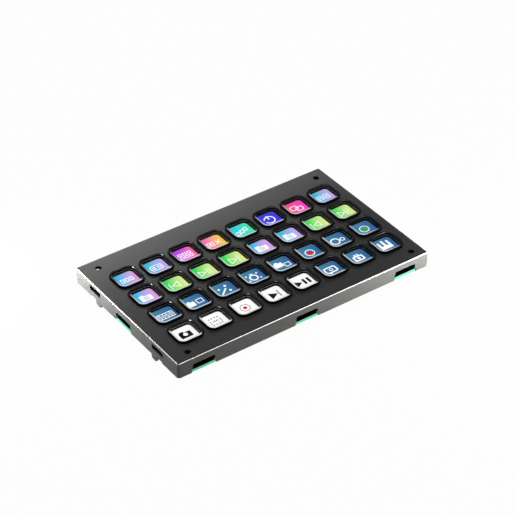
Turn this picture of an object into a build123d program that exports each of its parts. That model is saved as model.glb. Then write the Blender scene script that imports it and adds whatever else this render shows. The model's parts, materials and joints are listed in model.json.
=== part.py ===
from build123d import *

import os
from math import atan2, degrees

# A panel-mount key module: a folded sheet-metal front frame holds 32 clear push keys in 8 columns
# and 4 rows. Each key is a solid clear block, a window onto its own square of one display. Under the
# frame lie, in order, the key guide, a silicone dome sheet, the contact board, a spacer lattice, the
# display with its backlight tray, and the green main board, which is screwed to four studs and keyed
# into the skirt's notches. Millimetres. X runs along the long side, Y to the back, Z up. The origin
# is the centre of the footprint, on the plane of the four lugs that the module stands on.

# ---- key grid ----
key_pitch = 19.3
columns = 8
rows = 4
grid_x = 2.05  # centre of the key grid, off the frame's centre
grid_y = -1.75

# ---- front frame ----
frame_width = 167.8
frame_depth = 102.2
skirt_height = 9.5
sheet = 1.0
edge_radius = 0.5
corner_radius = 1.1
lug_drop = 2.8
panel_top = lug_drop + skirt_height
inner_corner = 0.3  # left inside each folded corner

hole_centre_x = 1.3
hole_centre_y = -0.75
hole_spacing_x = 150.2
hole_spacing_y = 88.7
hole_radius = 1.8

notch_width = 13.8
notch_flare = 0.8
notch_height = 5.5
notch_round = 0.6
front_notch_x = (-67.6, -0.4, 67.6)
side_notch_y = 2.4
slot_length = 10.7
slot_height = 3.3
slot_centre_y = 31.2
slot_top_gap = 2.2
lug_width = 5.2
lug_centre_y = 28.0
lug_round = 1.8
relief_width = 5.0
relief_depth = 0.8
corner_relief_width = 1.6
corner_relief_height = 1.2

# ---- keys ----
cap_width = 16.3
cap_corner = 4.3
cap_proud = 1.15
cap_rim_width = 0.8  # of the shallow bevel round the flat lens
cap_rim_drop = 0.14
cap_edge = 0.2
core_width = 14.9  # of the block below the flange, inside the dome's window
core_corner = 3.45
flange_width = 17.9
flange_thickness = 0.6
flange_clearance = 0.05
key_travel = 0.9
press_slack = 0.15  # left under the flange and the core when the key is fully down
opening_gap = 0.25  # round each cap
opening_bevel = 0.2

# ---- the sandwich under the frame ----
guide_thickness = flange_clearance + flange_thickness + key_travel + press_slack
guide_gap = 0.2  # between the guide and the skirt
guide_cell = 18.5
guide_cell_corner = 4.9
web_thickness = 0.35
dome_width = 158.0
dome_depth = 81.0
dome_window = 15.6
dome_corner = 3.8
dome_lip = 0.7
dome_foot = 1.2
contact_thickness = 0.3
contact_depth = 81.5
spacer_thickness = 0.2
spacer_window = 18.6
spacer_corner = 0.6
sheet_corner = 2.0

# ---- display ----
display_width = 160.0
display_depth = 80.0
glass_corner = 0.8
glass_thickness = 1.4
glass_ledge = 1.2  # of the lower glass, bare at the back for the ribbon
tray_sheet = 0.2
tray_height = 2.4
films_thickness = 0.35
light_guide_gap = 0.2
led_count = 24
led_width = 3.0
led_depth = 0.9
led_height = 1.4
led_pitch = 6.2
led_board_thickness = 0.15

# ---- main board ----
board_thickness = 1.6
board_rise = 0.4  # underside of the board above the skirt's lower edge
board_clearance = 0.25
board_corner = 1.0
tab_width = 14.2
tab_setback = 0.1
bolt_clearance_radius = 2.7
stud_places = ((-50.0, 44.6), (52.0, 44.6), (-36.0, -46.2), (36.0, -46.2))
stud_radius = 2.1
stud_bore_radius = 1.05
stud_bore_depth = 4.0
stud_gap = 0.2  # between a stud and the guide
screw_radius = 0.98
screw_reach = 3.5
screw_hole_radius = 1.08
screw_head_radius = 1.9
screw_head_height = 1.2
hex_radius = 0.9
hex_depth = 0.7

# ---- ribbons and their connectors ----
flex_thickness = 0.2
flex_bend = 0.3
flex_tail = 0.9  # straight run into a connector
display_flex_x = -20.0
display_flex_width = 24.0
display_flex_lead = 1.0
contact_flex_x = 26.0
contact_flex_width = 16.0
contact_flex_lead = 0.7
contact_flex_drop = 0.5
connector_y = 44.6
connector_depth = 5.0
connector_height = 1.6
connector_ends = 2.5
connector_slot_depth = 3.0
connector_slot_margin = 0.5

# ---- data socket ----
socket_x = front_notch_x[1]
socket_width = 8.94
socket_height = 3.0
socket_depth = 7.3
socket_wall = 0.3
socket_corner = 1.4
socket_setback = 0.4
mouth_depth = 6.2
tongue_width = 6.7
tongue_depth = 4.4
tongue_thickness = 0.7
leg_length = 1.2
leg_width = 1.0
leg_gap = 0.15
leg_places_y = (-1.9, 2.4)

# ---- parts under the main board: x, y, width, depth, height ----
chip_edge = 0.2
chips = {
    "controller": (10.0, 8.0, 14.0, 14.0, 1.4),
    "memory": (-14.0, 10.0, 8.0, 6.0, 1.5),
    "display_driver": (-34.0, -8.0, 10.0, 10.0, 1.2),
    "contact_reader": (34.0, 6.0, 5.0, 5.0, 1.0),
    "socket_switch": (4.0, 30.0, 5.0, 6.4, 1.5),
}
coil_size = 6.0
coil_height = 2.4
coil_corner = 1.0
coil_places = ((50.0, 22.0), (60.0, 22.0))
capacitor_width = 3.2
capacitor_depth = 5.0
capacitor_height = 1.8
capacitor_places = ((48.0, 12.0), (55.0, 12.0), (62.0, 12.0))
passive_length = 1.6
passive_width = 0.8
passive_height = 0.6
passive_pitch = 2.2
passive_margin = 2.0  # from a chip's edge to its row of passives
foam_length = 140.0
foam_width = 10.0
foam_offset = 26.0

overrun = 1.0  # how far a cutting tool runs past the faces that it cuts

# ---- levels, from the top down ----
cap_top = panel_top + cap_proud
panel_under = panel_top - sheet
flange_top = panel_under - flange_clearance
flange_bottom = flange_top - flange_thickness
web_top = panel_under - guide_thickness
contact_top = web_top - web_thickness
contact_bottom = contact_top - contact_thickness
glass_top = contact_bottom - spacer_thickness
core_bottom = glass_top + key_travel + press_slack
glass_bottom = glass_top - glass_thickness
tray_bottom = glass_bottom - tray_height
board_bottom = lug_drop + board_rise
board_top = board_bottom + board_thickness

bolt_places = [
    (hole_centre_x + side * hole_spacing_x / 2, hole_centre_y + end * hole_spacing_y / 2)
    for side in (-1, 1)
    for end in (-1, 1)
]


def block(width, depth, height, x, y, bottom, round_corner=0.0):
    """An upright block centred on x, y, standing on the level bottom."""
    outline = RectangleRounded(width, depth, round_corner) if round_corner else Rectangle(width, depth)
    return Pos(x, y, bottom) * extrude(outline, height)


def bores(places, radius, bottom, top):
    """Upright cylinders that cut right through from bottom to top."""
    height = top - bottom + 2 * overrun
    return [Pos(x, y, (bottom + top) / 2) * Cylinder(radius, height) for x, y in places]


def key_squares(width, round_corner):
    """One rounded square for every key, on the key grid."""
    return Sketch() + [
        Pos(grid_x, grid_y) * place * RectangleRounded(width, width, round_corner)
        for place in GridLocations(key_pitch, key_pitch, columns, rows)
    ]


def windows(width, round_corner, bottom, top):
    """Prisms that cut a window for every key, right through from bottom to top."""
    height = top - bottom + 2 * overrun
    return Pos(0, 0, bottom - overrun) * extrude(key_squares(width, round_corner), height)


def notch_prism(thickness):
    """A skirt notch, open at its lower end, flared towards it. Runs along Y, centred on X = 0."""
    half_top = notch_width / 2
    half_bottom = half_top + notch_flare
    outline = Polyline(
        (-half_bottom, -overrun),
        (-half_bottom, 0),
        (-half_top, notch_height),
        (half_top, notch_height),
        (half_bottom, 0),
        (half_bottom, -overrun),
        close=True,
    )
    face = make_face(outline)
    face = fillet(face.vertices().group_by(Axis.Y)[-1], notch_round)
    return extrude(Plane.XZ * face, thickness / 2, both=True)


def skirt_cuts():
    """Every cut-out of the four skirt walls."""
    reach = 2 * (sheet + overrun)
    half_width = frame_width / 2
    half_depth = frame_depth / 2
    slot_level = panel_top - slot_top_gap - slot_height / 2
    cuts = []
    for side in (-1, 1):
        for x in front_notch_x:
            cuts.append(Pos(x, side * half_depth, lug_drop) * notch_prism(reach))
        cuts.append(Pos(side * half_width, side_notch_y, lug_drop) * Rot(0, 0, 90) * notch_prism(reach))
        for end in (-1, 1):
            slot = Plane.YZ * RectangleRounded(slot_length, slot_height, notch_round)
            slot = extrude(slot, reach / 2, both=True)
            cuts.append(Pos(side * half_width, end * slot_centre_y, slot_level) * slot)
            relief_y = end * (lug_centre_y + (lug_width + relief_width) / 2)
            relief = block(reach, relief_width, relief_depth + overrun, 0, relief_y, lug_drop - overrun)
            cuts.append(Pos(side * half_width, 0, 0) * relief)
            corner = Pos(side * half_width, end * half_depth, lug_drop) * Rot(0, 0, 45)
            cuts.append(corner * Box(corner_relief_width, corner_relief_width, 2 * corner_relief_height))
    return cuts


def make_front_frame():
    """Folded sheet tray: top panel, four skirt walls, four lugs below the side walls."""
    frame = block(frame_width, frame_depth, skirt_height, 0, 0, lug_drop, corner_radius)
    frame = fillet(frame.faces().sort_by(Axis.Z)[-1].edges(), edge_radius)
    inner_width = frame_width - 2 * sheet
    inner_depth = frame_depth - 2 * sheet
    frame -= block(inner_width, inner_depth, skirt_height - sheet, 0, 0, lug_drop, inner_corner)
    frame -= windows(cap_width + 2 * opening_gap, cap_corner + opening_gap, panel_under, panel_top)
    frame = chamfer(frame.faces().sort_by(Axis.Z)[-1].inner_wires().edges(), opening_bevel)
    frame -= bores(bolt_places, hole_radius, panel_under, panel_top)
    frame -= skirt_cuts()
    lug_height = lug_drop + relief_depth
    for side in (-1, 1):
        for end in (-1, 1):
            outline = Rectangle(lug_width, lug_height)
            outline = fillet(outline.vertices().group_by(Axis.Y)[0], lug_round)
            lug = extrude(Plane.YZ * outline, sheet / 2, both=True)
            frame += Pos(side * (frame_width - sheet) / 2, end * lug_centre_y, lug_height / 2) * lug
    return frame


def make_key():
    """One key at the origin: a solid clear block with a bevelled rim, a flange, and a core under it."""
    rim_level = cap_top - cap_rim_drop
    cap = block(cap_width, cap_width, rim_level - flange_bottom, 0, 0, flange_bottom, cap_corner)
    lens_width = cap_width - 2 * cap_rim_width
    rim_outline = Pos(0, 0, rim_level) * RectangleRounded(cap_width, cap_width, cap_corner)
    lens_outline = Pos(0, 0, cap_top) * RectangleRounded(lens_width, lens_width, cap_corner - cap_rim_width)
    cap += loft([rim_outline.face(), lens_outline.face()], ruled=True)
    rim_edges = cap.edges().group_by(Axis.Z)[-3]  # below the lens's edges and the bevel's corner lines
    cap = fillet(rim_edges, cap_edge)
    flange_corner = cap_corner + (flange_width - cap_width) / 2
    cap += block(flange_width, flange_width, flange_thickness, 0, 0, flange_bottom, flange_corner)
    cap += block(core_width, core_width, flange_bottom - core_bottom, 0, 0, core_bottom, core_corner)
    return cap


def make_key_guide():
    """Black plate that fills the frame, over the dome sheet; it has a cell round each key's flange."""
    width = frame_width - 2 * (sheet + guide_gap)
    depth = frame_depth - 2 * (sheet + guide_gap)
    guide = block(width, depth, guide_thickness, 0, 0, web_top, sheet_corner)
    guide -= windows(guide_cell, guide_cell_corner, web_top, panel_under)
    guide -= bores(bolt_places, bolt_clearance_radius, web_top, panel_under)
    guide -= bores(stud_places, stud_radius + stud_gap, web_top, panel_under)
    return guide


def make_dome_sheet():
    """Silicone sheet with a springy lip round each key's core, which carries the key's flange."""
    lip_height = flange_bottom - web_top
    foot_width = dome_window + 2 * dome_foot
    lean = degrees(atan2(dome_foot - dome_lip, lip_height))
    foot = key_squares(foot_width, dome_corner + dome_foot)
    dome_sheet = block(dome_width, dome_depth, web_thickness, grid_x, grid_y, contact_top, sheet_corner)
    dome_sheet += Pos(0, 0, web_top) * extrude(foot, lip_height, taper=lean)
    return dome_sheet - windows(dome_window, dome_corner, contact_top, flange_bottom)


def make_contact_board():
    """Thin board with a window for each key and a contact ring under each lip."""
    board = block(
        display_width, contact_depth, contact_thickness, grid_x, grid_y, contact_bottom, sheet_corner
    )
    return board - windows(dome_window, dome_corner, contact_bottom, contact_top)


def make_display_spacer():
    """Thin adhesive lattice that holds the contact board on the display, one square for each key."""
    lattice = block(display_width, contact_depth, spacer_thickness, grid_x, grid_y, glass_top, sheet_corner)
    return lattice - windows(spacer_window, spacer_corner, glass_top, contact_bottom)


def make_display_glass():
    """Two bonded glasses; the lower one is longer at the back, where the ribbon is bonded to it."""
    layer = glass_thickness / 2
    lower = block(display_width, display_depth, layer, grid_x, grid_y, glass_bottom, glass_corner)
    upper_depth = display_depth - glass_ledge
    upper_y = grid_y - glass_ledge / 2
    upper_level = glass_bottom + layer
    return lower + block(display_width, upper_depth, layer, grid_x, upper_y, upper_level, glass_corner)


def make_backlight():
    """Folded steel tray, and in it the light guide, the row of lamps at its front, and the films."""
    tray = block(display_width, display_depth, tray_height, grid_x, grid_y, tray_bottom, glass_corner)
    inside_width = display_width - 2 * tray_sheet
    inside_depth = display_depth - 2 * tray_sheet
    floor_level = tray_bottom + tray_sheet
    films_level = glass_bottom - films_thickness
    tray -= block(inside_width, inside_depth, tray_height, grid_x, grid_y, floor_level)
    width = inside_width - 2 * light_guide_gap
    films = block(width, inside_depth - 2 * light_guide_gap, films_thickness, grid_x, grid_y, films_level)
    front = grid_y - inside_depth / 2
    lamp_front = front + light_guide_gap
    guide_front = lamp_front + led_depth + light_guide_gap
    guide_back = grid_y + inside_depth / 2 - light_guide_gap
    guide_depth = guide_back - guide_front
    guide_y = (guide_front + guide_back) / 2
    light_guide = block(width, guide_depth, films_level - floor_level, grid_x, guide_y, floor_level)
    lamp_y = lamp_front + led_depth / 2
    led_strip = block(width, led_depth, led_board_thickness, grid_x, lamp_y, floor_level)
    for place in GridLocations(led_pitch, 0, led_count, 1):
        lamp_level = floor_level + led_board_thickness
        led_strip += place * block(led_width, led_depth, led_height, grid_x, lamp_y, lamp_level)
    return tray, light_guide, led_strip, films


def ribbon(points, width, x):
    """A flat flex bent along points given as (y, z), of the given width along X."""
    line = FilletPolyline(*points, radius=flex_bend)
    strip = trace(line, line_width=flex_thickness)
    return Pos(x, 0, 0) * extrude(Plane.YZ * strip, width / 2, both=True)


def make_flexes():
    """The two ribbons from the display and the contact board to the main board."""
    entry_level = board_top + connector_height / 2
    entry_y = connector_y - connector_depth / 2
    display_back = grid_y + display_depth / 2
    display_level = glass_bottom + glass_thickness / 4
    display_flex = ribbon(
        (
            (display_back, display_level),
            (display_back + display_flex_lead, display_level),
            (entry_y - flex_tail, entry_level),
            (entry_y, entry_level),
        ),
        display_flex_width,
        display_flex_x,
    )
    contact_back = grid_y + contact_depth / 2
    contact_level = contact_bottom + contact_thickness / 2
    bend_y = contact_back + contact_flex_lead
    contact_flex = ribbon(
        (
            (contact_back, contact_level),
            (bend_y, contact_level),
            (bend_y + contact_flex_drop, entry_level),
            (entry_y, entry_level),
        ),
        contact_flex_width,
        contact_flex_x,
    )
    return display_flex, contact_flex


def make_connector(x, flex_width):
    """A surface-mount flex connector with the slot that its ribbon enters."""
    width = flex_width + 2 * connector_ends
    body = block(width, connector_depth, connector_height, x, connector_y, board_top)
    slot_y = connector_y - (connector_depth - connector_slot_depth) / 2
    slot = Box(flex_width + 2 * connector_slot_margin, connector_slot_depth, 2 * flex_thickness)
    return body - Pos(x, slot_y, board_top + connector_height / 2) * slot


def socket_legs(gap, bottom, length):
    """The socket's four soldering legs, or with a gap the board's slots for them."""
    inset = (socket_width - socket_wall) / 2
    middle_y = frame_depth / 2 - socket_setback - socket_depth / 2
    thickness = socket_wall + 2 * gap
    width = leg_width + 2 * gap
    return [
        block(thickness, width, length, socket_x + side * inset, middle_y + y, bottom)
        for side in (-1, 1)
        for y in leg_places_y
    ]


def make_main_board():
    """Green circuit board: tabs in the skirt's notches, holes for its screws and the corner bolts."""
    inner_width = frame_width - 2 * (sheet + board_clearance)
    inner_depth = frame_depth - 2 * (sheet + board_clearance)
    board = block(inner_width, inner_depth, board_thickness, 0, 0, board_bottom, board_corner)
    full_width = frame_width - 2 * tab_setback
    full_depth = frame_depth - 2 * tab_setback
    for x in front_notch_x:
        board += block(tab_width, full_depth, board_thickness, x, 0, board_bottom)
    board += block(full_width, tab_width, board_thickness, 0, side_notch_y, board_bottom)
    board -= bores(bolt_places, bolt_clearance_radius, board_bottom, board_top)
    board -= bores(stud_places, screw_hole_radius, board_bottom, board_top)
    board -= socket_legs(leg_gap, board_bottom, board_thickness)
    return board


def make_panel_studs():
    """Four tapped studs, staked to the underside of the panel."""
    height = panel_under - board_top
    studs = Part()
    for x, y in stud_places:
        stud = Pos(x, y, board_top + height / 2) * Cylinder(stud_radius, height)
        bore = Cylinder(stud_bore_radius, stud_bore_depth)
        studs += stud - Pos(x, y, board_top + stud_bore_depth / 2) * bore
    return studs


def make_board_screws():
    """Four pan-head screws up through the main board into the studs."""
    screws = Part()
    for x, y in stud_places:
        under = board_bottom - screw_head_height
        head = Pos(x, y, under + screw_head_height / 2) * Cylinder(screw_head_radius, screw_head_height)
        head -= Pos(x, y, under) * extrude(RegularPolygon(hex_radius, 6), hex_depth)
        shank_height = board_thickness + screw_reach
        shank = Pos(x, y, board_bottom + shank_height / 2) * Cylinder(screw_radius, shank_height)
        screws += head + shank
    return screws


def make_usb_socket():
    """Reversible data and power socket under the board, its mouth at the back edge."""
    front = frame_depth / 2 - socket_setback
    centre_z = board_bottom - socket_height / 2
    place = Pos(socket_x, front - socket_depth / 2, centre_z)
    outer = Plane.XZ * RectangleRounded(socket_width, socket_height, socket_corner)
    inner_width = socket_width - 2 * socket_wall
    inner_height = socket_height - 2 * socket_wall
    inner = Plane.XZ * RectangleRounded(inner_width, inner_height, socket_corner - socket_wall)
    shell = extrude(outer, socket_depth / 2, both=True)
    mouth = Pos(0, (socket_depth - mouth_depth) / 2, 0) * extrude(inner, mouth_depth / 2, both=True)
    shell = place * (shell - mouth)
    shell += socket_legs(0, board_bottom - socket_corner, socket_corner + leg_length)
    tongue_y = front - mouth_depth + tongue_depth / 2
    tongue = Pos(socket_x, tongue_y, centre_z) * Box(tongue_width, tongue_depth, tongue_thickness)
    return shell, tongue


def make_chips():
    """Moulded chips under the board, each with a chamfer round its lower face."""
    bodies = Part()
    for x, y, width, depth, height in chips.values():
        chip = block(width, depth, height, x, y, board_bottom - height)
        bodies += chamfer(chip.faces().sort_by(Axis.Z)[0].edges(), chip_edge)
    return bodies


def make_power_parts():
    """Power coils and tall capacitors under the board."""
    parts = Part()
    for x, y in coil_places:
        parts += block(coil_size, coil_size, coil_height, x, y, board_bottom - coil_height, coil_corner)
    for x, y in capacitor_places:
        level = board_bottom - capacitor_height
        parts += block(capacitor_width, capacitor_depth, capacitor_height, x, y, level)
    return parts


def make_board_passives():
    """A row of small capacitors and resistors in front of and behind each chip."""
    passives = Part()
    level = board_bottom - passive_height
    for x, y, width, depth, height in chips.values():
        for side in (-1, 1):
            row_y = y + side * (depth / 2 + passive_margin)
            for place in GridLocations(passive_pitch, 0, int(width / passive_pitch), 1):
                passives += place * block(passive_width, passive_length, passive_height, x, row_y, level)
    return passives


def make_support_foam():
    """Two thin foam tapes on the main board, which the backlight tray is pressed on."""
    foam = Part()
    for side in (-1, 1):
        y = grid_y + side * foam_offset
        foam += block(foam_length, foam_width, tray_bottom - board_top, grid_x, y, board_top)
    return foam


os.makedirs("parts", exist_ok=True)
backlight_tray, light_guide, led_strip, optical_films = make_backlight()
display_flex, contact_flex = make_flexes()
usb_socket, usb_tongue = make_usb_socket()
nodes = {
    "front_frame": make_front_frame(),
    "key_guide": make_key_guide(),
    "dome_sheet": make_dome_sheet(),
    "contact_board": make_contact_board(),
    "contact_flex": contact_flex,
    "display_spacer": make_display_spacer(),
    "display_glass": make_display_glass(),
    "optical_films": optical_films,
    "light_guide": light_guide,
    "led_strip": led_strip,
    "backlight_tray": backlight_tray,
    "display_flex": display_flex,
    "main_board": make_main_board(),
    "support_foam": make_support_foam(),
    "panel_studs": make_panel_studs(),
    "board_screws": make_board_screws(),
    "display_connector": make_connector(display_flex_x, display_flex_width),
    "contact_connector": make_connector(contact_flex_x, contact_flex_width),
    "usb_socket": usb_socket,
    "usb_tongue": usb_tongue,
    "board_chips": make_chips(),
    "power_parts": make_power_parts(),
    "board_passives": make_board_passives(),
}
key = make_key()
for row in range(rows):
    for column in range(columns):
        x = grid_x + (column - (columns - 1) / 2) * key_pitch
        y = grid_y + ((rows - 1) / 2 - row) * key_pitch
        nodes[f"key_r{row + 1}_c{column + 1}"] = Pos(x, y, 0) * key
for name, shape in nodes.items():
    export_step(shape, f"parts/{name}.step")
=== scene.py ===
import json
from math import radians

import bmesh
import bpy
from mathutils import Matrix, Vector

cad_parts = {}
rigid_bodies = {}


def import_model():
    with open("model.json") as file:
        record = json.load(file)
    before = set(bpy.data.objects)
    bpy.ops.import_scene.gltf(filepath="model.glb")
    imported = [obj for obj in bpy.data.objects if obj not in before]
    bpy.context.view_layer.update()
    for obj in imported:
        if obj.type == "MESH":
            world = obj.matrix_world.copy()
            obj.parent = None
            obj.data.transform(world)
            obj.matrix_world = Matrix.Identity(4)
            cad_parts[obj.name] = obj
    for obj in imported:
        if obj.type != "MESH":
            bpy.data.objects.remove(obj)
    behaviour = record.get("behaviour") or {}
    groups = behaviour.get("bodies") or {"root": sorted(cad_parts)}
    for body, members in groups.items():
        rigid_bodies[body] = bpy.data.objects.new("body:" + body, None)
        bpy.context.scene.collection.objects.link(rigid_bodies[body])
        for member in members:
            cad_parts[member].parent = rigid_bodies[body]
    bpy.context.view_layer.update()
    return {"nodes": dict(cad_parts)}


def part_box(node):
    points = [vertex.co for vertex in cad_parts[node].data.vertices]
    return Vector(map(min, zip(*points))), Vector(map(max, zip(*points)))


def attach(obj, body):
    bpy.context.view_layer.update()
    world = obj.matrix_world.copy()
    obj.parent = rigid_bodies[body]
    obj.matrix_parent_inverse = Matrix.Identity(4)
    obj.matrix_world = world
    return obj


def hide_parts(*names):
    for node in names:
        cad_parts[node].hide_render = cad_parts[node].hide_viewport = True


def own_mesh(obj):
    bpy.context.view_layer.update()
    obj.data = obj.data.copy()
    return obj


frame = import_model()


# ---- camera, lamps and floor -------------------------------------------------------------------
# The module lies on a plain pale floor, and a long lens looks down on it from the front left. A wide
# softbox hangs over it. Smaller lamps light the metal frame, the caps' collars, or the walls and the
# floor alone, so that the clear caps don't mirror them.
class Wire:
    """An output of a node. Arithmetic on it adds Math nodes."""

    def __init__(self, nodes, socket):
        self.nodes = nodes
        self.socket = socket

    def maths(self, operation, first, second=0.0):
        return self.nodes.node("ShaderNodeMath", {"operation": operation}, {0: first, 1: second})

    def __add__(self, other):
        return self.maths("ADD", self, other)

    __radd__ = __add__

    def __sub__(self, other):
        return self.maths("SUBTRACT", self, other)

    def __rsub__(self, other):
        return self.maths("SUBTRACT", other, self)

    def __mul__(self, other):
        return self.maths("MULTIPLY", self, other)

    __rmul__ = __mul__

    def __truediv__(self, other):
        return self.maths("DIVIDE", self, other)

    def __mod__(self, other):
        return self.maths("FLOORED_MODULO", self, other)

    def __gt__(self, other):
        return self.maths("GREATER_THAN", self, other)

    def __lt__(self, other):
        return self.maths("LESS_THAN", self, other)

    def __or__(self, other):
        return self.maths("MAXIMUM", self, other)

    def __abs__(self):
        return self.maths("ABSOLUTE", self)


class Nodes:
    """The nodes of one material or of the world."""

    def __init__(self, tree):
        self.tree = tree

    def set_socket(self, socket, value):
        if isinstance(value, Wire):
            self.tree.links.new(value.socket, socket)
        else:
            socket.default_value = value

    def node(self, kind, settings=None, values=None, output=0):
        """Adds a node, with its settings set first and then its sockets, and gives one output."""
        node = self.tree.nodes.new(kind)
        for setting, value in (settings or {}).items():
            setattr(node, setting, value)
        for socket, value in (values or {}).items():
            self.set_socket(node.inputs[socket], value)
        return Wire(self, node.outputs[output])


scene = bpy.context.scene
scene.view_settings.view_transform = "Standard"
camera_data = bpy.data.cameras.new("camera")
camera_data.lens = 132.88
camera_data.clip_start = 0.05
camera = bpy.data.objects.new("camera", camera_data)
camera.location = (-0.48482, -0.68882, 0.65007)
camera.rotation_euler = (radians(52.941), radians(0.153), radians(-35.428))
scene.collection.objects.link(camera)
scene.camera = camera


def soft_panel(name, place, target, width, height, power, only_on=None):
    """A rectangular lamp that faces a point on the module. It may light one collection alone."""
    lamp = bpy.data.lights.new(name, "AREA")
    lamp.shape = "RECTANGLE"
    lamp.size = width
    lamp.size_y = height
    lamp.energy = power
    holder = bpy.data.objects.new(name, lamp)
    holder.location = place
    holder.rotation_euler = (Vector(target) - Vector(place)).to_track_quat("-Z", "Y").to_euler()
    holder.visible_camera = False
    scene.collection.objects.link(holder)
    if only_on:
        holder.light_linking.receiver_collection = only_on


def lit_group(name, nodes):
    """A collection that starts with these CAD nodes, for lamps that light nothing else."""
    group = bpy.data.collections.new(name)
    for node in nodes:
        group.objects.link(frame["nodes"][node])
    return group


top_group = lit_group("frame_alone", ["front_frame"])
collar_group = lit_group("collars_alone", [])
wall_group = lit_group("walls_and_floor", ["front_frame", "main_board"])

# Two soft panels overhead light everything.
soft_panel("softbox", (-0.135, 0.13, 0.9), (-0.135, 0.13, 0), 1.03, 1.46, 3.9)
soft_panel("softbox_end", (0.52, -0.02, 0.9), (0.52, -0.02, 0), 0.28, 1.16, 0.83)

# These light the frame alone: its printed top and its bright folded edges.
soft_panel("front_card", (0.34, -0.28, 0.50), (0.02, -0.03, 0), 0.30, 0.40, 1.4, top_group)
soft_panel("left_card", (-0.14, 0.42, 0.46), (-0.03, 0, 0), 0.26, 0.26, 0.8, top_group)
soft_panel("back_strip", (0.06, 0.165, 0.085), (0.092, 0, 0.012), 0.36, 0.02, 0.19, top_group)
soft_panel("end_lamp", (0.36, 0.08, 0.11), (0.03, 0, 0.012), 0.20, 0.09, 0.55, top_group)

# These draw the glints on the collars' rounded edges.
soft_panel("back_glint", (-0.02, 0.20, 0.035), (0, 0, 0.012), 0.26, 0.03, 0.9, collar_group)
soft_panel("end_glint", (0.36, 0.08, 0.11), (0.03, 0, 0.012), 0.20, 0.09, 1.6, collar_group)

# A small distant lamp puts a spark on the corners of the rims.
soft_panel("corner_lamp", (1.69, 2.26, 1.02), (0, 0, 0.012), 0.10, 0.10, 0.35)

# These lie below the panel's level, so that they light the walls and not the top.
soft_panel("left_lamp", (-0.15, 0.10, 0.0065), (-0.084, 0.02, 0.006), 0.05, 0.011, 0.27, wall_group)
soft_panel("right_lamp", (0.17, -0.165, 0.0065), (0.05, -0.051, 0.006), 0.06, 0.011, 0.52, wall_group)

world = bpy.data.worlds.new("studio")
scene.world = world
world.use_nodes = True
studio = Nodes(world.node_tree)
direction = studio.node("ShaderNodeTexCoord", output="Generated")
rise = studio.node("ShaderNodeSeparateXYZ", None, {0: direction}, "Z")
horizon_glow = studio.node("ShaderNodeMapRange", None, {
    "Value": rise, "From Min": 0.06, "From Max": 0.30, "To Min": 0.12, "To Max": 0.02})
seen = studio.node("ShaderNodeLightPath", output="Is Camera Ray")
backdrop = world.node_tree.nodes["Background"]
backdrop.inputs["Color"].default_value = (1, 1, 1, 1)
studio.set_socket(backdrop.inputs["Strength"], seen + (1 - seen) * horizon_glow)

bpy.ops.object.select_all(action="DESELECT")
bpy.ops.mesh.primitive_plane_add(size=8.0, location=(0, 0, 0))
floor = bpy.context.object
floor.name = "floor"
wall_group.objects.link(floor)
floor_paint = bpy.data.materials.new("pale_floor")
floor_paint.use_nodes = True
floor_nodes = Nodes(floor_paint.node_tree)
floor_shader = floor_paint.node_tree.nodes["Principled BSDF"]
floor_shader.inputs["Base Color"].default_value = (0.3, 0.3, 0.3, 1)
floor_shader.inputs["Roughness"].default_value = 0.9
to_camera = floor_nodes.node("ShaderNodeLightPath", output="Is Camera Ray")
in_gloss = floor_nodes.node("ShaderNodeLightPath", output="Is Glossy Ray")
through_lens = floor_nodes.node("ShaderNodeLightPath", output="Is Transmission Ray")
glow = floor_nodes.node("ShaderNodeEmission", None, {"Strength": 1.04})
glow_when_seen = 0.94
glow_when_mirrored = 0.04
floor_surface = floor_nodes.node("ShaderNodeMixShader", None, {
    "Fac": (to_camera | through_lens) * glow_when_seen + in_gloss * glow_when_mirrored,
    1: Wire(floor_nodes, floor_shader.outputs[0]), 2: glow})
floor_nodes.set_socket(floor_paint.node_tree.nodes["Material Output"].inputs["Surface"], floor_surface)
floor.data.materials.append(floor_paint)


# ---- front frame -------------------------------------------------------------------------------
# One piece of sheet steel with folded walls and four lugs. Its top is printed satin black, and the
# walls are bare, with a fine brushed grain. Along the fold a smoother band is painted lighter, as a
# painted highlight.
mm = 0.001


def paint(code):
    """A colour written as six hex digits, as the linear value that a socket takes."""
    levels = [int(code[i:i + 2], 16) / 255 for i in (0, 2, 4)]
    return [
        level / 12.92 if level < 0.04045 else ((level + 0.055) / 1.055) ** 2.4 for level in levels
    ] + [1]


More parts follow.
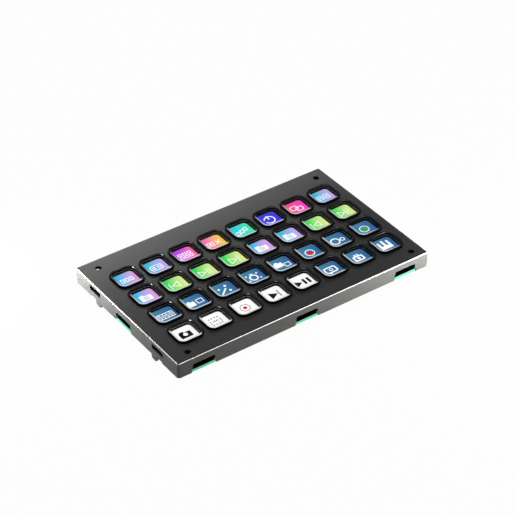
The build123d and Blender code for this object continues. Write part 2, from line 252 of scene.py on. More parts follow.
class Finish(Nodes):
    """A material. Constant numbers go straight on the shader's sockets, patterns come from nodes."""

    def __init__(self, name, colour, roughness, metallic=0.0, **sockets):
        self.material = bpy.data.materials.new(name)
        self.material.use_nodes = True
        super().__init__(self.material.node_tree)
        self.shader = self.tree.nodes["Principled BSDF"]
        self.put("Base Color", paint(colour))
        self.put("Roughness", roughness)
        self.put("Metallic", metallic)
        for socket, value in sockets.items():
            self.put(socket.replace("_", " "), value)

    def put(self, socket, value):
        self.set_socket(self.shader.inputs[socket], value)

    def point(self):
        """The place in the module's own frame, in metres."""
        return self.node("ShaderNodeTexCoord", output="Object")

    def axes(self):
        """The three parts of that place."""
        split = self.node("ShaderNodeSeparateXYZ", None, {0: self.point()}).socket.node
        return [Wire(self, part) for part in split.outputs]

    def blend(self, mask, first, second):
        return self.node(
            "ShaderNodeMix", {"data_type": "RGBA"}, {"Factor": mask, "A": first, "B": second}, "Result"
        )

    def grain(self, scale, detail=2.0, stretch=(1, 1, 1)):
        """Noise at so many spots a metre, drawn out along an axis for a brushed look."""
        drawn = self.node("ShaderNodeMapping", None, {"Vector": self.point(), "Scale": stretch})
        return self.node("ShaderNodeTexNoise", None, {
            "Vector": drawn, "Scale": scale, "Detail": detail}, "Fac")

    def mottle(self, smoothest, spread, scale):
        """Roughness that varies over the surface, in so many spots a metre."""
        self.put("Roughness", smoothest + spread * self.grain(scale))

    def bump(self, height, strength, depth):
        self.put("Normal", self.node("ShaderNodeBump", None, {
            "Height": height, "Strength": strength, "Distance": depth}, "Normal"))


def dress(node, finish):
    """Gives a CAD node its finish."""
    frame["nodes"][node].data.materials[0] = finish.material


frame_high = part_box("front_frame")[1]
panel_top = frame_high.z
wall_share = 0.985  # of the way out to the edge, where the walls begin
print_depth = 0.02 * mm
print_depth_in_openings = 1.2 * mm
fold_highlight_depth = 0.42 * mm

frame_finish = Finish("black_print_on_bare_steel", "202020", 0.4)
x, y, z = frame_finish.axes()
outward = abs(x) / frame_high.x | abs(y) / frame_high.y
inland = outward < wall_share
printed = (z > panel_top - print_depth) | (z > panel_top - print_depth_in_openings) * inland
# The band along the fold: smoother steel, painted lighter as a highlight.
fold_highlight = (z > panel_top - fold_highlight_depth) * (1 - printed)
fine = frame_finish.grain(2500, 3.0)
brushed = frame_finish.grain(260, 3.0, (1, 1, 14))
cloudy = frame_finish.grain(40)
steel = frame_finish.blend(brushed * 0.6 + cloudy * 0.4, paint("848482"), paint("aaaaa7"))
ink = frame_finish.blend(fine, paint("101011"), paint("161617"))
# The fold's band gets a painted highlight: a near-white steel colour.
frame_finish.put("Base Color", frame_finish.blend(
    printed, frame_finish.blend(fold_highlight, steel, paint("e6e6e4")), ink))
frame_finish.put("Metallic", 1 - printed)
frame_finish.put("Roughness", printed * (0.34 + 0.06 * fine)
                 + (1 - printed) * (1 - fold_highlight) * (0.40 + 0.16 * brushed) + fold_highlight * 0.24)
frame_finish.bump(fine, 0.25, 0.01 * mm)
dress("front_frame", frame_finish)


# ---- panel studs -------------------------------------------------------------------------------
# Four turned brass studs, staked under the panel's margins and tapped for the main board's screws.
stud_brass = Finish("turned_brass", "b8944c", 0.3, 1.0)
turned = stud_brass.grain(500, 2.0, (1, 1, 10))
stud_brass.put("Roughness", 0.25 + 0.2 * turned)
dress("panel_studs", stud_brass)


# ---- key caps ----------------------------------------------------------------------------------
# Each cap is a solid clear block, so that the picture under it seems to lie just below its top. A
# polished bevel and a black collar run round the flat lens. Below them a grey flange holds the cap
# under the panel, and a foot stands inside the silicone lip.
def start_square(name, width, corner, level, steps=8):
    """A rounded square face that lies flat at a level, centred on the origin, left in edit mode."""
    bpy.ops.object.select_all(action="DESELECT")
    bpy.ops.mesh.primitive_plane_add(size=width, location=(0, 0, level))
    piece = bpy.context.object
    piece.name = name
    bpy.ops.object.transform_apply(location=True, rotation=True, scale=True)
    bpy.ops.object.mode_set(mode="EDIT")
    bpy.ops.mesh.select_all(action="SELECT")
    bpy.ops.mesh.bevel(offset=corner, segments=steps, affect="VERTICES")
    bpy.ops.mesh.select_all(action="SELECT")
    return piece


def raise_face(height):
    bpy.ops.mesh.extrude_region_move(TRANSFORM_OT_translate={"value": (0, 0, height)})


def start_ring(name, width, corner, wall, low, high):
    """An upright rounded-square ring of a given wall, left in edit mode."""
    piece = start_square(name, width, corner, low)
    bpy.ops.mesh.inset(thickness=wall)
    bpy.ops.mesh.delete(type="FACE")
    bpy.ops.mesh.select_all(action="SELECT")
    raise_face(high - low)
    return piece


def beyond(spot, width, corner):
    """How far a point lies outside an upright rounded square that is centred on the origin."""
    run = max(abs(spot.x) - (width / 2 - corner), 0)
    rise = max(abs(spot.y) - (width / 2 - corner), 0)
    return Vector((run, rise)).length - corner


def round_outline(piece, width, corner, level, radius):
    """Rounds the outer edge of a piece's upper face."""
    slack = 0.02 * mm
    mesh = bmesh.from_edit_mesh(piece.data)
    for edge in mesh.edges:
        edge.select_set(all(
            abs(vertex.co.z - level) < slack and abs(beyond(vertex.co, width, corner)) < slack
            for vertex in edge.verts))
    bmesh.update_edit_mesh(piece.data)
    bpy.ops.mesh.bevel(offset=radius, segments=3, affect="EDGES")


def select_where(piece, wanted):
    """Selects only the vertices that pass a test."""
    mesh = bmesh.from_edit_mesh(piece.data)
    for vertex in mesh.verts:
        vertex.select_set(wanted(vertex.co))
    mesh.select_flush_mode()
    bmesh.update_edit_mesh(piece.data)


def finish_mesh(piece, finish):
    """Closes the edit of a piece: faces outwards, smooth shading, its finish."""
    if piece.mode == "EDIT":
        bpy.ops.mesh.select_all(action="SELECT")
        bpy.ops.mesh.normals_make_consistent(inside=False)
        bpy.ops.object.mode_set(mode="OBJECT")
    bpy.ops.object.shade_smooth_by_angle(angle=radians(35))
    piece.data.materials.clear()
    piece.data.materials.append(finish.material)


def copy_piece(piece, name, offset):
    """A copy with its own mesh, moved in its mesh by the offset."""
    twin = bpy.data.objects.new(name, piece.data.copy())
    twin.data.transform(Matrix.Translation(offset))
    scene.collection.objects.link(twin)
    return twin


# The two colours of each picture's square. The rim over it is painted with a share of them, as painted
# light from the picture.
shades = {
    "sky": ("35b4ea", "e79be0"),
    "aqua": ("2cb8d8", "c9a7ee"),
    "violet": ("b93bf2", "f56f9d"),
    "sunset": ("f36fb4", "f4cf2f"),
    "mint": ("2ecbe6", "4fe3a0"),
    "indigo": ("3b3fe0", "4a35d8"),
    "crimson": ("ef4f80", "f03ec6"),
    "green": ("2fd75f", "e6ef9a"),
    "steel": ("3f7fa3", "2c5f96"),
    "paper": ("ffffff", "f6f6f6"),
}
key_shades = {}  # from the back row to the front one
for row, names in enumerate((
    "sky aqua violet sunset mint indigo crimson aqua",
    "sky green green green sky aqua green green",
    "steel steel steel steel steel steel steel steel",
    "paper paper paper paper paper steel steel steel",
)):
    for column, name in enumerate(names.split()):
        key_shades[f"r{row + 1}_c{column + 1}"] = name

cap_low, cap_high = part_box("key_r1_c1")
cap_top = cap_high.z
core_bottom = cap_low.z
panel_sheet = 1.0 * mm
flange_gap = 0.05 * mm
flange_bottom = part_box("dome_sheet")[1].z
flange_top = panel_top - panel_sheet - flange_gap
flange_width = cap_high.x - cap_low.x
cap_width = 16.3 * mm
cap_corner = 4.3 * mm
flange_corner = cap_corner + (flange_width - cap_width) / 2
core_width = 14.9 * mm
core_corner = 3.45 * mm
rim_width = 1.3 * mm  # from the cap's outline to the lens
collar_width = 0.6 * mm  # the black part of that
rim_drop = 0.14 * mm
collar_round = 0.25 * mm
lens_width = cap_width - 2 * rim_width
lens_corner = cap_corner - rim_width
liner_wall = 0.08 * mm
inside_width = lens_width - 2 * liner_wall
seam = 0.01 * mm
near = 0.1 * mm  # how close to a level or an outline a vertex counts as on it

lens_finish = Finish("clear_cap_plastic", "ffffff", 0.02, Transmission_Weight=1.0, IOR=1.49)
lens_finish.mottle(0.01, 0.02, 900)
lens = start_square("cap_lens", lens_width, lens_corner, core_bottom)
raise_face(cap_top - core_bottom)
finish_mesh(lens, lens_finish)

liner_finish = Finish("matt_black_inside", "030303", 0.8, Specular_IOR_Level=0.1)
liner_finish.mottle(0.75, 0.15, 900)
liner = start_ring(
    "cap_liner", lens_width - seam, lens_corner, liner_wall, flange_top + seam, cap_top - 2 * seam)
finish_mesh(liner, liner_finish)

collar_finish = Finish("black_cap_print", "060606", 0.2)
collar_finish.mottle(0.16, 0.10, 700)
collar = start_ring(
    "cap_collar", cap_width, cap_corner, collar_width, flange_top + seam, cap_top - rim_drop)
round_outline(collar, cap_width, cap_corner, cap_top - rim_drop, collar_round)
finish_mesh(collar, collar_finish)

foot_finish = Finish("grey_cap_foot", "9f978e", 0.5)
foot_finish.mottle(0.45, 0.15, 900)
flange = start_ring(
    "cap_flange", flange_width, flange_corner, (flange_width - inside_width) / 2,
    flange_bottom, flange_top)
finish_mesh(flange, foot_finish)
foot = start_ring(
    "cap_foot", core_width, core_corner, (core_width - inside_width) / 2,
    core_bottom, flange_bottom - seam)
finish_mesh(foot, foot_finish)

# Each rim's colour is tinted towards its picture's colours: painted light from the picture on the
# polished rim.
painted_glow_share = 0.28  # share of the picture's colour that the rim shows
rim_finishes = {}
for name, (first, second) in shades.items():
    painted_glow_tint = [1 - painted_glow_share + painted_glow_share * (a + b) / 2 for a, b in zip(paint(first), paint(second))]
    rim_finish = Finish("polished_rim_" + name, "ffffff", 0.15, 1.0)
    rim_finish.put("Base Color", painted_glow_tint)
    rim_finish.mottle(0.10, 0.10, 900)
    rim_finishes[name] = rim_finish
rim_outline = cap_width - 2 * collar_width - seam
rim_corner = cap_corner - collar_width
rim = start_ring(
    "cap_rim", rim_outline, rim_corner, rim_width - collar_width - seam, flange_top + seam, cap_top)
select_where(rim, lambda spot: (
    beyond(spot, rim_outline, rim_corner) > -near and spot.z > cap_top - near))
bpy.ops.transform.translate(value=(0, 0, -rim_drop))
finish_mesh(rim, lens_finish)

key_centres = {}
for key in key_shades:
    low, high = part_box("key_" + key)
    key_centres[key] = Vector(((low.x + high.x) / 2, (low.y + high.y) / 2, 0))
    for part in (lens, liner, collar, flange, foot, rim):
        piece = copy_piece(part, f"{part.name}_{key}", key_centres[key])
        if part is collar:
            collar_group.objects.link(piece)
        if part is rim:
            piece.data.materials[0] = rim_finishes[key_shades[key]].material
        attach(piece, "push_key_" + key)
        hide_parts("key_" + key)
for part in (lens, liner, collar, flange, foot, rim):
    bpy.data.objects.remove(part)


# ---- key guide ---------------------------------------------------------------------------------
# A black plate, moulded in glass-filled plastic, that fills the frame under its top. Each of its 32
# cells holds one cap's flange and keeps the cap square as it travels.
guide_finish = Finish("black_guide_plastic", "0b0b0b", 0.55)
speckle = guide_finish.grain(3000)
guide_finish.put("Base Color", guide_finish.blend(speckle, paint("080808"), paint("101010")))
guide_finish.bump(speckle, 0.3, 0.02 * mm)
dress("key_guide", guide_finish)


# ---- dome sheet --------------------------------------------------------------------------------
# One silicone sheet with a springy lip round each window. The lip carries that key's flange and folds
# down as the key is pressed, so each lip is shaped as a piece of its own, with its own mesh.
silicone = Finish("dark_silicone", "343437", 0.5)
silicone.mottle(0.45, 0.15, 1200)
dome_window = 15.6 * mm
dome_corner = 3.8 * mm
lip_foot = 1.2 * mm
lip_top = 0.7 * mm
web_thickness = 0.35 * mm
web_corner = 2 * mm
dome_low, dome_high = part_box("dome_sheet")
web_top = dome_low.z + web_thickness
lip_width = dome_window + 2 * lip_foot

lip = start_ring("dome_lip", lip_width, dome_corner + lip_foot, lip_foot, web_top, dome_high.z)
select_where(lip, lambda spot: (
    beyond(spot, dome_window, dome_corner) > lip_top and spot.z > web_top + near))
lean_in = (dome_window + 2 * lip_top) / lip_width
bpy.ops.transform.resize(value=(lean_in, lean_in, 1), center_override=(0, 0, 0))
finish_mesh(lip, silicone)
for key, centre in key_centres.items():
    piece = copy_piece(lip, f"dome_lip_{key}", centre)
    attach(piece, "module")
    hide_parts("dome_sheet")
    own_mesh(piece)
bpy.data.objects.remove(lip)

overrun = 1 * mm  # how far below the sheet the window cutter starts
cutter = start_square("window_cutter", dome_window, dome_corner, dome_low.z - overrun)
raise_face(3 * overrun)
finish_mesh(cutter, silicone)
cutters = [copy_piece(cutter, f"window_cutter_{key}", centre) for key, centre in key_centres.items()]
bpy.data.objects.remove(cutter)
bpy.ops.object.select_all(action="DESELECT")
for piece in cutters:
    piece.select_set(True)
bpy.context.view_layer.objects.active = cutters[0]
bpy.ops.object.join()
cutters = bpy.context.object

bpy.ops.object.select_all(action="DESELECT")
bpy.ops.mesh.primitive_plane_add(size=1, location=(0, 0, dome_low.z))
web = bpy.context.object
web.name = "dome_web"
web.scale = (dome_high.x - dome_low.x, dome_high.y - dome_low.y, 1)
web.location = ((dome_high.x + dome_low.x) / 2, (dome_high.y + dome_low.y) / 2, dome_low.z)
bpy.ops.object.transform_apply(location=True, rotation=True, scale=True)
bpy.ops.object.mode_set(mode="EDIT")
bpy.ops.mesh.select_all(action="SELECT")
bpy.ops.mesh.bevel(offset=web_corner, segments=6, affect="VERTICES")
bpy.ops.mesh.select_all(action="SELECT")
raise_face(web_thickness - seam)
finish_mesh(web, silicone)
opening = web.modifiers.new("windows", "BOOLEAN")
opening.operation = "DIFFERENCE"
opening.object = cutters
bpy.context.view_layer.objects.active = web
bpy.ops.object.modifier_apply(modifier="windows")
bpy.data.objects.remove(cutters)
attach(web, "module")
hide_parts("dome_sheet")


# ---- contact board -----------------------------------------------------------------------------
# A thin board with a black mask and a window for each key. A gold contact ring is plated under each
# lip, and the lip's carbon pill closes it.
pitch = 19.3 * mm
contact_inside = 8.1 * mm  # from the middle of a key to its contact ring
contact_outside = 8.7 * mm
grid_left = key_centres["r4_c1"].x - pitch / 2
grid_front = key_centres["r4_c1"].y - pitch / 2


def from_key_middle(finish):
    """How far a place lies from the middle of its key, along the farther of the two axes."""
    x, y, z = finish.axes()
    return abs((x - grid_left) % pitch - pitch / 2) | abs((y - grid_front) % pitch - pitch / 2)


board_ink = Finish("black_solder_mask", "141415", 0.35)
reach = from_key_middle(board_ink)
gold_ring = (reach > contact_inside) * (reach < contact_outside)
board_ink.put("Base Color", board_ink.blend(gold_ring, paint("2a2a2c"), paint("c9a04a")))
board_ink.put("Metallic", gold_ring)
board_ink.mottle(0.30, 0.12, 800)
dress("contact_board", board_ink)


# ---- display spacer ----------------------------------------------------------------------------
# A lattice with thin black walls between the squares. It carries the contact board over the glass,
# and keeps the light of one picture out of the next key.
spacer_finish = Finish("black_lattice", "101011", 0.7)
spacer_finish.mottle(0.6, 0.2, 1500)
dress("display_spacer", spacer_finish)


# ---- display -----------------------------------------------------------------------------------
# One panel behind all the windows. Each key shows its own lit square of it, with a plain picture:
# the squares and the marks on them lie on the glass as thin lit layers.
glass_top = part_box("display_glass")[1].z
glass_finish = Finish("display_glass_black", "030304", 0.08)
glass_finish.mottle(0.06, 0.05, 500)
dress("display_glass", glass_finish)

square_width = 13.2 * mm
square_corner = 3.0 * mm
layer_thickness = 0.02 * mm
fade_start = 5.9 * mm  # from the middle of a key
fade_end = 6.7 * mm
faded_share = 0.85  # how far the edge goes to dark
first_until = 0.32  # of the way across a key's square, where the second colour starts to come in
second_from = 0.80
lean = 0.15  # of the colours' run, from straight across towards front to back


def lit(name, first, second=None):
    """A lit layer of one colour, or one that runs from a first to a second across each key's square
    and fades at the square's edge."""
    layer = Finish(name, "000000", 0.6, Emission_Strength=1.15)
    layer.put("Emission Color", paint(first))
    if second:
        x, y, z = layer.axes()
        faded = layer.node("ShaderNodeMapRange", None, {
            "Value": from_key_middle(layer), "From Min": fade_start, "From Max": fade_end,
            "To Min": 0.0, "To Max": faded_share})
        across = ((x - grid_left) / pitch) % 1.0
        along = ((y - grid_front) / pitch) % 1.0
        spread = layer.node("ShaderNodeMapRange", None, {
            "Value": across * (1 - lean) + (1 - along) * lean,
            "From Min": first_until, "From Max": second_from})
        picture_colour = layer.blend(spread, paint(first), paint(second))
        layer.put("Emission Color", layer.blend(faded, picture_colour, paint("0c1014")))
    return layer


lit_schemes = {name: lit("lit_" + name, first, second) for name, (first, second) in shades.items()}
white_mark = lit("white_mark", "ffffff")
black_mark = lit("black_mark", "050505")
red_mark = lit("red_mark", "e01818")
green_mark = lit("green_mark", "3f9a6f")
cell = start_square("cell", square_width, square_corner, glass_top + seam)
raise_face(layer_thickness)
finish_mesh(cell, white_mark)
mark_level = glass_top + seam + 2 * layer_thickness


def start_marks(name):
    """An empty mesh, left in edit mode, that a picture's shapes are added to."""
    bpy.ops.object.select_all(action="DESELECT")
    bpy.ops.mesh.primitive_plane_add(size=1)
    marks = bpy.context.object
    marks.name = name
    bpy.ops.object.mode_set(mode="EDIT")
    bpy.ops.mesh.select_all(action="SELECT")
    bpy.ops.mesh.delete(type="VERT")
    return marks


def settle(place, width, height, line, turn):
    """Gives the shape just added its width and height, turns it, and may hollow it to a line."""
    bpy.ops.transform.resize(value=(width, height, 1), center_override=place)
    if turn:
        bpy.ops.transform.rotate(value=radians(-turn), orient_axis="Z", center_override=place)
    if line:
        bpy.ops.mesh.inset(thickness=line * mm)
        bpy.ops.mesh.delete(type="FACE")
    bpy.ops.mesh.select_all(action="DESELECT")


def box(x, y, width, height, line=0.0, turn=0.0, round_corner=0.0):
    """A bar or a frame, in millimetres from the key's middle. All pictures are drawn that way."""
    place = (x * mm, y * mm, mark_level)
    bpy.ops.mesh.primitive_plane_add(size=mm, location=place)
    if round_corner:
        bpy.ops.transform.resize(value=(width, height, 1), center_override=place)
        bpy.ops.mesh.bevel(offset=round_corner * mm, segments=4, affect="VERTICES")
        bpy.ops.mesh.select_linked()
        width = height = 1
    settle(place, width, height, line, turn)


def disc(x, y, radius, line=0.0, sides=28, turn=0.0):
    """A disc or a ring, or with few sides a triangle or a diamond."""
    place = (x * mm, y * mm, mark_level)
    bpy.ops.mesh.primitive_circle_add(
        vertices=sides, radius=radius * mm, fill_type="NGON", location=place)
    settle(place, 1, 1, line, turn)


def triangle(x, y, height, line=0.0, turn=-90):
    """It points right, or with a turn of 90 degrees left."""
    disc(x, y, height / 1.5, line, 3, turn)


def film():
    box(0, 0, 10.0, 4.8, 0.45)
    for x in (-3.2, -1.05, 1.05, 3.2):
        box(x, 0, 1.5, 1.9, 0.35)
        box(x, 1.75, 0.9, 0.6)
        box(x, -1.75, 0.9, 0.6)


def folder():
    for x in (-2.5, 2.5):
        box(x, -0.6, 2.0, 4.4)
    for y in (1.2, -2.4):
        box(0, y, 3.0, 0.8)
    for x in (-0.9, 0, 0.9):
        box(x, -0.6, 0.5, 2.2)
    box(-2.0, 2.1, 3.0, 1.0)


def previous():
    box(-3.2, 0, 0.5, 5.4)
    triangle(0.8, 0, 4.8, 0.5, 90)


def play_lines():
    triangle(-2.0, 0, 4.6, 0.5)
    box(1.7, 0, 0.5, 5.2)
    box(3.3, 0, 0.5, 5.2)


def play_next():
    triangle(-0.9, 0, 5.0, 0.5)
    box(3.3, 0, 0.5, 5.6)


def boxes():
    box(-2.7, -0.2, 4.8, 3.8, 0, 0, 0.5)
    box(-3.6, 2.2, 1.8, 0.9)
    box(3.0, 0.3, 4.2, 3.8, 0.5, 0, 0.4)


def cards():
    box(-1.9, 0.6, 5.4, 3.8, 0, 0, 0.6)
    box(-2.6, 3.0, 2.0, 0.9)
    box(3.0, -1.0, 3.8, 3.6, 0.5, 0, 0.4)


def wand():
    box(-1.1, -1.1, 6.4, 0.9, 0, 42)
    for x, y, size in ((2.6, -1.8, 1.0), (-2.8, 1.8, 0.9), (2.0, 3.0, 1.0)):
        disc(x, y, size, 0, 4)


def lens_ring():
    disc(0, -0.3, 2.7, 0.9)
    for x, y in ((-3.4, 2.5), (3.4, 2.5), (-3.6, -2.1), (3.6, -2.1)):
        disc(x, y, 0.6, 0, 8)
    box(0, 3.0, 2.0, 0.7)


def record():
    disc(0, 0, 3.0, 0.6)


def thin_ring():
    disc(0, 0, 3.0, 0.35)


def twin_rings():
    disc(-1.4, 0, 3.0, 0.8)
    disc(3.3, -0.2, 1.6, 0.6)


def ring():
    disc(0, 0, 3.0, 0.5)


def crown():
    box(0, -1.7, 7.5, 2.8)
    for x, high in ((-3.0, 2.6), (0.0, 3.6), (3.0, 2.6)):
        box(x, high / 2 - 0.3, 1.5, high)
        disc(x, high + 0.5, 0.8, 0, 10)


def dashes():
    for x in (-2.7, -0.9, 0.9, 2.7):
        box(x, 2.7, 1.1, 0.6)
        box(x, -2.7, 1.1, 0.6)
    for y in (-1.2, 0.4):
        box(-3.2, y, 0.6, 1.0)
        box(3.2, y, 0.6, 1.0)
    for x in (-1.5, -0.5, 0.5, 1.5):
        box(x, 0, 0.55, 0.9)


def photo():
    box(0, -0.5, 7.2, 4.6, 0, 0, 0.6)
    box(-1.6, 2.3, 2.8, 1.0)


def play_bar():
    triangle(-0.9, 0, 5.0)
    box(3.2, 0, 0.6, 5.6)


def play_pause():
    triangle(-3.0, 0, 4.2)
    box(1.2, 0, 1.6, 4.8)
    box(4.0, 0, 1.6, 4.8)


def tiles():
    for x in (-2.8, 0.0, 2.8):
        box(x, 0, 2.2, 3.6, 0.55)


def card():
    box(0, 0, 7.6, 4.8, 0.55, 0, 1.2)
    box(-1.6, 0, 1.9, 2.0, 0.5)
    disc(1.7, 0, 1.1, 0.45)


def cross():
    box(-2.3, 0, 4.2, 3.8, 0.5)
    box(-2.3, 0, 1.6, 1.4)
    for turn in (45, -45):
        box(2.6, 0, 4.4, 0.6, 0, turn)


def grid():
    for x in (-3.0, 0.0, 3.0):
        for y in (-1.5, 1.5):
            box(x, y, 2.5, 2.4, 0.55)


def steps():
    for x in (-2.8, 0.0, 2.8):
        box(x, x / 2.8 * 0.9, 2.3, 3.4, 0.5)


def power():
    for turn in range(-145, 146, 29):
        spot = Matrix.Rotation(radians(turn), 2) @ Vector((3.1, 0))
        box(spot.x, spot.y, 0.75, 1.7, 0, turn)
    box(0, 2.2, 0.8, 3.4)


def overlap():
    box(-1.4, 0.8, 4.8, 4.2, 0.55, 0, 0.9)
    box(1.5, -0.9, 4.6, 4.0, 0.55, 0, 0.9)


def pair():
    box(-2.2, 0, 3.6, 4.2, 0.5, 0, 0.6)
    box(2.2, 0, 3.6, 4.2, 0.5, 0, 0.6)
    disc(-2.2, 0, 0.7, 0, 10)
    box(2.2, 0, 1.2, 1.2)


def bubble():
    box(0, 0, 8.0, 5.4, 0.9, 0, 1.4)
    box(-1.6, -2.9, 1.3, 1.3, 0, 45)
    disc(0.2, 0, 1.2, 0.5)


def bag():
    box(0, -0.7, 6.6, 4.6, 1.0, 0, 0.5)
    box(0, 2.3, 3.2, 1.5, 0.5)
    disc(0, -0.7, 1.0)


pictures = (
    tiles, card, grid, cross, steps, power, overlap, pair,
    folder, previous, play_lines, play_next, folder, folder, previous, play_lines,
    film, boxes, wand, lens_ring, cards, record, twin_rings, ring,
    photo, dashes, thin_ring, play_bar, play_pause, bubble, bag, crown,
)
accents = {
    "r3_c6": (1.7, red_mark),
    "r3_c8": (2.5, green_mark),
    "r4_c1": (1.3, white_mark),
    "r4_c3": (1.2, red_mark),
}


def show(marks, finish, key):
    """Gives a picture its thickness, its colour and its place over the key's square."""
    bpy.ops.mesh.select_all(action="SELECT")
    raise_face(layer_thickness)
    finish_mesh(marks, finish)
    marks.data.transform(Matrix.Translation(key_centres[key]))
    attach(marks, "module")


for (key, scheme), picture in zip(key_shades.items(), pictures):
    square = copy_piece(cell, f"lit_square_{key}", key_centres[key])
    square.data.materials[0] = lit_schemes[scheme].material
    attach(square, "module")
    marks = start_marks(f"picture_{key}")
    picture()
    show(marks, black_mark if scheme == "paper" else white_mark, key)
    if key in accents:
        radius, finish = accents[key]
        marks = start_marks(f"accent_{key}")
        disc(0, 0, radius)
        bpy.ops.mesh.select_all(action="SELECT")
        bpy.ops.transform.translate(value=(0, 0, layer_thickness))
        show(marks, finish, key)
bpy.data.objects.remove(cell)


# ---- backlight ---------------------------------------------------------------------------------
# A folded steel tray holds a clear light guide, a row of white lamps along its front edge, and the
# frosted films that spread their light over the back of the display.
film_finish = Finish("frosted_film", "dfe3e6", 0.5)
film_finish.mottle(0.45, 0.15, 2000)
dress("optical_films", film_finish)

light_guide_finish = Finish("clear_light_guide", "d9dde2", 0.1)
light_guide_finish.mottle(0.08, 0.10, 600)
dress("light_guide", light_guide_finish)

lamp_finish = Finish("white_lamp_strip", "e9e6d2", 0.5)
strip_thickness = 0.2 * mm
x, y, z = lamp_finish.axes()
above_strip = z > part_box("led_strip")[0].z + strip_thickness
phosphor = above_strip * (lamp_finish.grain(700) > 0.35)
lamp_finish.put("Base Color", lamp_finish.blend(phosphor, paint("e9e6dc"), paint("e8cf55")))
dress("led_strip", lamp_finish)

tray_finish = Finish("tray_steel", "8c8c8c", 0.35, 1.0)
rolled = tray_finish.grain(220, 2.0, (1, 14, 14))
tray_finish.put("Base Color", tray_finish.blend(rolled, paint("6f6f70"), paint("8f8f90")))
tray_finish.put("Roughness", 0.32 + 0.16 * rolled)
dress("backlight_tray", tray_finish)


# ---- ribbons and connectors --------------------------------------------------------------------
# Amber polyimide ribbons with copper traces run from the display and the contact board down to two
# cream connectors on the main board's upper side.
ribbon_finish = Finish("polyimide_ribbon", "8a4a12", 0.3)
trace_pitch = 0.5 * mm
x, y, z = ribbon_finish.axes()
trace = (x % trace_pitch) < trace_pitch / 2
ribbon_finish.put("Base Color", ribbon_finish.blend(trace, paint("7a3d0e"), paint("b5712c")))
ribbon_finish.mottle(0.25, 0.15, 900)
dress("display_flex", ribbon_finish)
dress("contact_flex", ribbon_finish)

housing_finish = Finish("cream_connector", "cfc8b8", 0.5)
housing_finish.put("Base Color", housing_finish.blend(
    housing_finish.grain(400), paint("c6bfae"), paint("d6d0c2")))
dress("display_connector", housing_finish)
dress("contact_connector", housing_finish)


# ---- main board --------------------------------------------------------------------------------
# Glass-fibre laminate. Its cut edge, which shows in the skirt's notches, is pale green and carries a
# painted glow; its faces carry a dark green mask with copper tracks under it.
mask_depth = 0.03 * mm
track_pitch = 0.9 * mm
track_width = 0.35 * mm
laminate = Finish("board_laminate", "0f3b2c", 0.4, Emission_Strength=0.4)
x, y, z = laminate.axes()
board_low, board_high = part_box("main_board")
face = (z > board_high.z - mask_depth) | (z < board_low.z + mask_depth)
fibre = laminate.grain(1500)
edge_colour = laminate.blend(fibre, paint("48a27a"), paint("58ae88"))
patch = laminate.node("ShaderNodeTexVoronoi", {"feature": "F1", "distance": "MANHATTAN"}, {
    "Vector": laminate.point(), "Scale": 70.0}, "Color")
way = laminate.node("ShaderNodeSeparateColor", None, {0: patch})
tracks_x = ((x % track_pitch) < track_width) * (way > 0.55)
tracks_y = ((y % track_pitch) < track_width) * (way < 0.4)
tracks = tracks_x | tracks_y
mask_colour = laminate.blend(fibre, paint("06140e"), paint("091d14"))
face_colour = laminate.blend(tracks, mask_colour, paint("0f3021"))
laminate.put("Base Color", laminate.blend(face, edge_colour, face_colour))
# The cut edge gets a painted glow: a mint emission, though the board is no lamp.
laminate.put("Emission Color", laminate.blend(face, paint("7df4be"), paint("000000")))
laminate.put("Roughness", face * 0.28 + (1 - face) * 0.45 + 0.12 * fibre)
laminate.bump(tracks, 0.5, mask_depth)
dress("main_board", laminate)


# ---- foam ---------------------------------------------------------------------------------------
# Two strips of closed-cell foam between the backlight's tray and the main board. They are stuck on
# one side and take up the slack.
foam_finish = Finish("grey_foam", "2a2a2a", 0.9)
cells = foam_finish.node("ShaderNodeTexVoronoi", None, {
    "Vector": foam_finish.point(), "Scale": 1800.0}, "Distance")
foam_finish.put("Base Color", foam_finish.blend(cells, paint("3a3a3b"), paint("222223")))
foam_finish.bump(cells, 0.6, 0.05 * mm)
dress("support_foam", foam_finish)


# ---- board screws -------------------------------------------------------------------------------
# Four zinc-plated screws with round heads and a hexagon recess hold the main board up to the studs.
zinc = Finish("zinc_plate", "b8b8b8", 0.3, 1.0)
haze = zinc.grain(600, 3.0)
zinc.put("Base Color", zinc.blend(haze, paint("a9abad"), paint("c6c7c4")))
zinc.put("Roughness", 0.22 + 0.2 * haze)
dress("board_screws", zinc)


# ---- data socket --------------------------------------------------------------------------------
# A drawn steel shell, soldered to the underside of the board by four legs, round a black tongue that
# carries gold contacts on both faces.
shell_finish = Finish("drawn_steel_shell", "c4c4c6", 0.3, 1.0)
drawn = shell_finish.grain(300, 2.0, (12, 1, 12))
shell_finish.put("Base Color", shell_finish.blend(drawn, paint("aeb0b2"), paint("cfd0d0")))
shell_finish.put("Roughness", 0.2 + 0.2 * drawn)
dress("usb_socket", shell_finish)

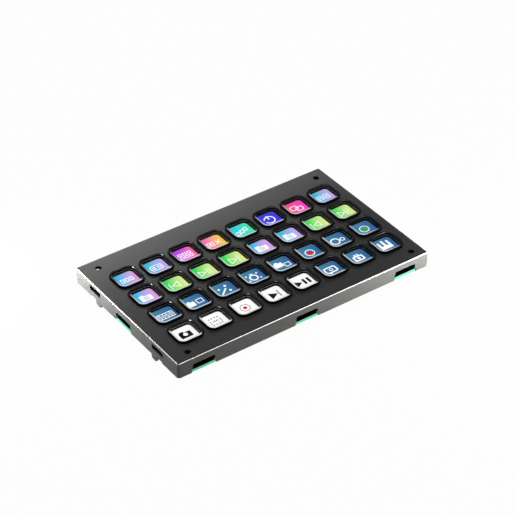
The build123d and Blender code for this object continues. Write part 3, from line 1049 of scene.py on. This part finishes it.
contact_pitch = 0.5 * mm
contact_width = 0.27 * mm
tongue_root = 0.6 * mm  # bare behind the contacts
tongue_tip = 0.4 * mm  # bare before them
tongue_finish = Finish("black_tongue", "101010", 0.5)
x, y, z = tongue_finish.axes()
tongue_low, tongue_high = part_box("usb_tongue")
plated = (y > tongue_low.y + tongue_root) * (y < tongue_high.y - tongue_tip)
contacts = (((x - tongue_low.x) % contact_pitch) < contact_width) * plated
tongue_finish.put("Base Color", tongue_finish.blend(contacts, paint("101011"), paint("d9b35c")))
tongue_finish.put("Metallic", contacts)
tongue_finish.put("Roughness", 0.5 - 0.2 * contacts)
dress("usb_tongue", tongue_finish)


# ---- parts under the board ----------------------------------------------------------------------
# Moulded black chips with tinned feet, two ferrite coils with three tall capacitors, and small
# ceramic parts in rows beside the chips. All are soldered to the board's underside.
foot_height = 0.18 * mm
foot_pitch = 0.65 * mm
foot_width = 0.3 * mm
epoxy = Finish("moulded_epoxy", "111111", 0.5)
x, y, z = epoxy.axes()
feet = (z > board_low.z - foot_height) * (((x + y) % foot_pitch) < foot_width)
filler = epoxy.grain(2500)
moulded = epoxy.blend(filler, paint("0e0e0f"), paint("1a1a1b"))
epoxy.put("Base Color", epoxy.blend(feet, moulded, paint("b9bbbb")))
epoxy.put("Metallic", feet)
epoxy.put("Roughness", 0.5 - 0.2 * feet)
epoxy.bump(filler, 0.2, 0.01 * mm)
dress("board_chips", epoxy)

ferrite = Finish("grey_ferrite", "2b2c2e", 0.6)
sintered = ferrite.grain(1600, 3.0)
ferrite.put("Base Color", ferrite.blend(sintered, paint("232427"), paint("3a3b3e")))
ferrite.put("Roughness", 0.5 + 0.25 * sintered)
ferrite.bump(sintered, 0.3, 0.02 * mm)
dress("power_parts", ferrite)

ceramic = Finish("fired_ceramic", "8a7560", 0.5)
each_part = ceramic.node("ShaderNodeTexVoronoi", {"feature": "F1"}, {
    "Vector": ceramic.point(), "Scale": 420.0}, "Color")
tinned = ceramic.node("ShaderNodeSeparateColor", None, {0: each_part}) > 0.6
ceramic.put("Base Color", ceramic.blend(tinned, paint("8f7a62"), paint("c9c9c4")))
ceramic.put("Metallic", 0.8 * tinned)
ceramic.mottle(0.4, 0.15, 1200)
dress("board_passives", ceramic)
